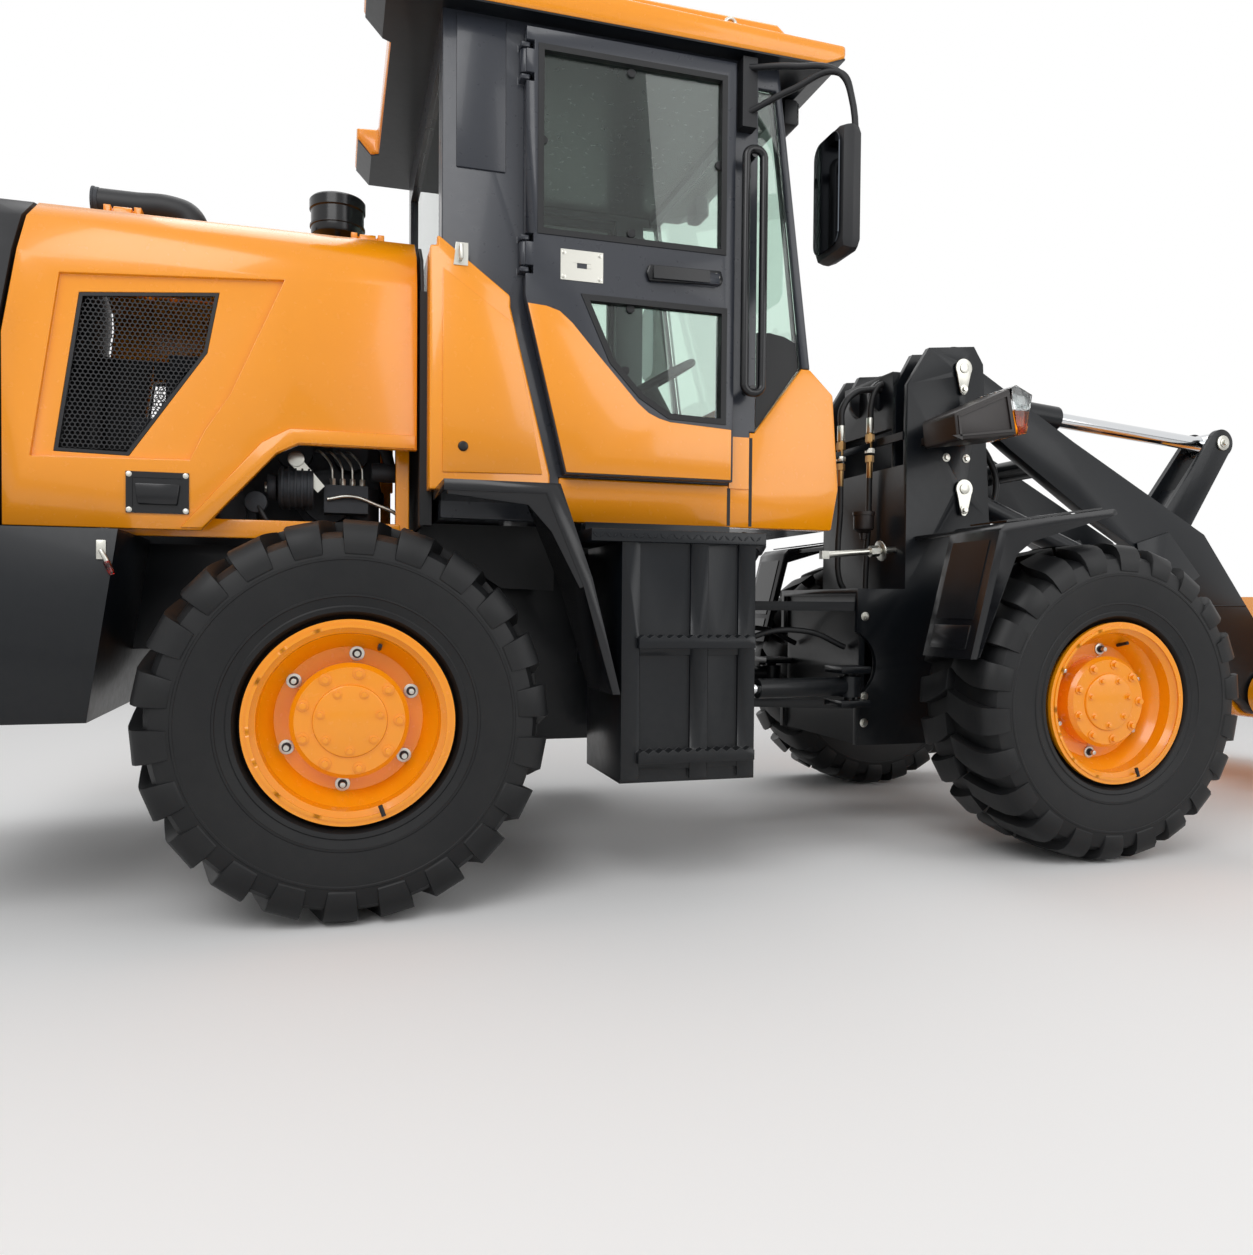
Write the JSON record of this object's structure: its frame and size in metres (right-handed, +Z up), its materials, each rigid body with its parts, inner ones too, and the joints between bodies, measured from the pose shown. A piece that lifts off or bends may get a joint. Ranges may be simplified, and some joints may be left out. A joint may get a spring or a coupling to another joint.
{
  "type": "wheel loader",
  "caption": "Compact articulated wheel loader with hinged frames, lift arms and a general-purpose bucket, a glazed cab with doors and a lifting engine hood.",
  "frame": {"origin": "Middle of the machine's length and width, on the ground under the tyres.", "axes": "+X forward to the bucket, +Y to the operator's left, +Z up."},
  "size_m": [6.16, 2, 2.7691],
  "materials": {
    "frame_paint": "satin blue-black paint",
    "engine_iron": "dull painted castings",
    "body_paint": "gloss orange paint",
    "cab_paint": "satin grey paint",
    "black_plastic": "matt black",
    "gloss_black": "moulded, semi-gloss",
    "glass": "clear with a pale green tint",
    "seat_cloth": "woven cloth",
    "lamp_lens": "clear lens",
    "bright_rod": "polished",
    "pin_steel": "turned",
    "tyre": "matt rubber"
  },
  "bodies": {
    "rear_frame": {"rear_chassis": "frame_paint", "rear_axle": "frame_paint", "counterweight": "frame_paint", "engine": "engine_iron", "transmission": "engine_iron", "hood_top": "body_paint", "rear_grille": "black_plastic", "air_intake": "black_plastic", "exhaust": "black_plastic", "cab_sides": "cab_paint", "cab_head": "cab_paint", "cab_rear_wall": "cab_paint", "cab_floor": "cab_paint", "cab_front": "body_paint", "cowl": "body_paint", "roof": "body_paint", "cab_glass": "glass", "seat": "seat_cloth", "controls": "black_plastic", "side_covers": "body_paint", "rear_fenders": "gloss_black", "step_boxes": "frame_paint", "filler_neck": "frame_paint", "mirrors": "black_plastic", "grab_rails": "black_plastic", "lamps": "lamp_lens", "hinge_pins": "pin_steel"},
    "front_frame": {"front_chassis": "frame_paint", "front_axle": "frame_paint", "front_fenders": "gloss_black", "headlights": "black_plastic"},
    "wheel_rear_right": {"tyre_rear_right": "tyre", "rim_rear_right": "body_paint"},
    "wheel_rear_left": {"tyre_rear_left": "tyre", "rim_rear_left": "body_paint"},
    "wheel_front_right": {"tyre_front_right": "tyre", "rim_front_right": "body_paint"},
    "wheel_front_left": {"tyre_front_left": "tyre", "rim_front_left": "body_paint"},
    "boom": {"boom": "frame_paint"},
    "lift_barrels": {"lift_barrels": "frame_paint"},
    "lift_rods": {"lift_rods": "bright_rod"},
    "tilt_barrel": {"tilt_barrel": "frame_paint"},
    "tilt_rod": {"tilt_rod": "bright_rod"},
    "lever": {"lever": "frame_paint"},
    "link": {"link": "frame_paint"},
    "bucket": {"bucket": "body_paint"},
    "steer_barrel_right": {"steer_barrel_right": "frame_paint"},
    "steer_barrel_left": {"steer_barrel_left": "frame_paint"},
    "steer_rod_right": {"steer_rod_right": "bright_rod"},
    "steer_rod_left": {"steer_rod_left": "bright_rod"},
    "door_right": {"door_right": "cab_paint", "door_glass_right": "glass"},
    "door_left": {"door_left": "cab_paint", "door_glass_left": "glass"},
    "hood_right": {"hood_right": "body_paint", "grille_right": "black_plastic"},
    "hood_left": {"hood_left": "body_paint", "grille_left": "black_plastic"}
  },
  "joints": [
    {"name": "steer", "type": "hinge", "parent": "rear_frame", "child": "front_frame", "pos_m": [-0.595, 0, 0.66], "axis": [0, 0, 1], "range_deg": [-35, 35]},
    {"name": "wheel_rear_right_spin", "type": "hinge", "parent": "rear_frame", "child": "wheel_rear_right", "pos_m": [-1.83, -0.75, 0.54], "axis": [0, 1, 0], "continuous": true},
    {"name": "wheel_rear_left_spin", "type": "hinge", "parent": "rear_frame", "child": "wheel_rear_left", "pos_m": [-1.83, 0.75, 0.54], "axis": [0, 1, 0], "continuous": true},
    {"name": "wheel_front_right_spin", "type": "hinge", "parent": "front_frame", "child": "wheel_front_right", "pos_m": [0.64, -0.75, 0.54], "axis": [0, 1, 0], "continuous": true},
    {"name": "wheel_front_left_spin", "type": "hinge", "parent": "front_frame", "child": "wheel_front_left", "pos_m": [0.64, 0.75, 0.54], "axis": [0, 1, 0], "continuous": true},
    {"name": "boom_lift", "type": "hinge", "parent": "front_frame", "child": "boom", "pos_m": [0.445, 0, 1.775], "axis": [0, -1, 0], "range_deg": [-13, 80]},
    {"name": "bucket_tilt", "type": "hinge", "parent": "boom", "child": "bucket", "pos_m": [2.04, 0, 0.49], "axis": [0, 1, 0], "range_deg": [-42, 120]},
    {"name": "lever_turn", "type": "hinge", "parent": "boom", "child": "lever", "pos_m": [1.605, 0, 1.04], "axis": [0, 1, 0], "range_deg": [-13.1, 4.91]},
    {"name": "link_turn", "type": "hinge", "parent": "lever", "child": "link", "pos_m": [1.5, 0, 0.56], "axis": [0, 1, 0], "range_deg": [-11, 30.5]},
    {"name": "lift_barrel_turn", "type": "hinge", "parent": "front_frame", "child": "lift_barrels", "pos_m": [0.455, 0, 1.313], "axis": [0, -1, 0], "range_deg": [-12.45, 74.05]},
    {"name": "lift_rod_slide", "type": "slide", "parent": "lift_barrels", "child": "lift_rods", "axis": [0.934, 0, -0.3573], "range_m": [-0.09857, 0.5808]},
    {"name": "tilt_barrel_turn", "type": "hinge", "parent": "front_frame", "child": "tilt_barrel", "pos_m": [0.41, 0, 1.745], "axis": [0, -1, 0], "range_deg": [-13.16, 78.39]},
    {"name": "tilt_rod_slide", "type": "slide", "parent": "tilt_barrel", "child": "tilt_rod", "axis": [0.9967, 0, -0.0815], "range_m": [-0.14194, 0.05293]},
    {"name": "steer_barrel_right_turn", "type": "hinge", "parent": "front_frame", "child": "steer_barrel_right", "pos_m": [-0.03, -0.34, 0.56], "axis": [0, 0, 1], "range_deg": [-8.33, 8.33]},
    {"name": "steer_rod_right_slide", "type": "slide", "parent": "steer_barrel_right", "child": "steer_rod_right", "axis": [-0.9965, -0.083, 0], "range_m": [-0.23406, 0.23406]},
    {"name": "steer_barrel_left_turn", "type": "hinge", "parent": "front_frame", "child": "steer_barrel_left", "pos_m": [-0.03, 0.34, 0.56], "axis": [0, 0, 1], "range_deg": [-8.33, 8.33]},
    {"name": "steer_rod_left_slide", "type": "slide", "parent": "steer_barrel_left", "child": "steer_rod_left", "axis": [-0.9965, 0.083, 0], "range_m": [-0.23406, 0.23406]},
    {"name": "door_right_swing", "type": "hinge", "parent": "rear_frame", "child": "door_right", "pos_m": [-1.325, -0.655, 1.9], "axis": [0, 0, -1], "range_deg": [0, 90]},
    {"name": "hood_right_lift", "type": "hinge", "parent": "rear_frame", "child": "hood_right", "pos_m": [-2.13, -0.35, 2.004], "axis": [-1, 0, 0], "range_deg": [0, 60]},
    {"name": "door_left_swing", "type": "hinge", "parent": "rear_frame", "child": "door_left", "pos_m": [-1.325, 0.655, 1.9], "axis": [0, 0, 1], "range_deg": [0, 90]},
    {"name": "hood_left_lift", "type": "hinge", "parent": "rear_frame", "child": "hood_left", "pos_m": [-2.13, 0.35, 2.004], "axis": [1, 0, 0], "range_deg": [0, 60]}
  ],
  "couplings": [
    {"joint": "lever_turn", "follows": "bucket_tilt", "ratio": -0.105},
    {"joint": "link_turn", "follows": "bucket_tilt", "ratio": 0.25},
    {"joint": "lift_barrel_turn", "follows": "boom_lift", "ratio": 0.91942},
    {"joint": "lift_rod_slide", "follows": "boom_lift", "m_per_rad": 0.41239},
    {"joint": "tilt_barrel_turn", "follows": "boom_lift", "ratio": 0.97361},
    {"joint": "tilt_rod_slide", "follows": "bucket_tilt", "m_per_rad": -0.065384},
    {"joint": "steer_barrel_right_turn", "follows": "steer", "ratio": -0.22385},
    {"joint": "steer_rod_right_slide", "follows": "steer", "m_per_rad": 0.37497},
    {"joint": "steer_barrel_left_turn", "follows": "steer", "ratio": -0.22385},
    {"joint": "steer_rod_left_slide", "follows": "steer", "m_per_rad": -0.37497}
  ]
}
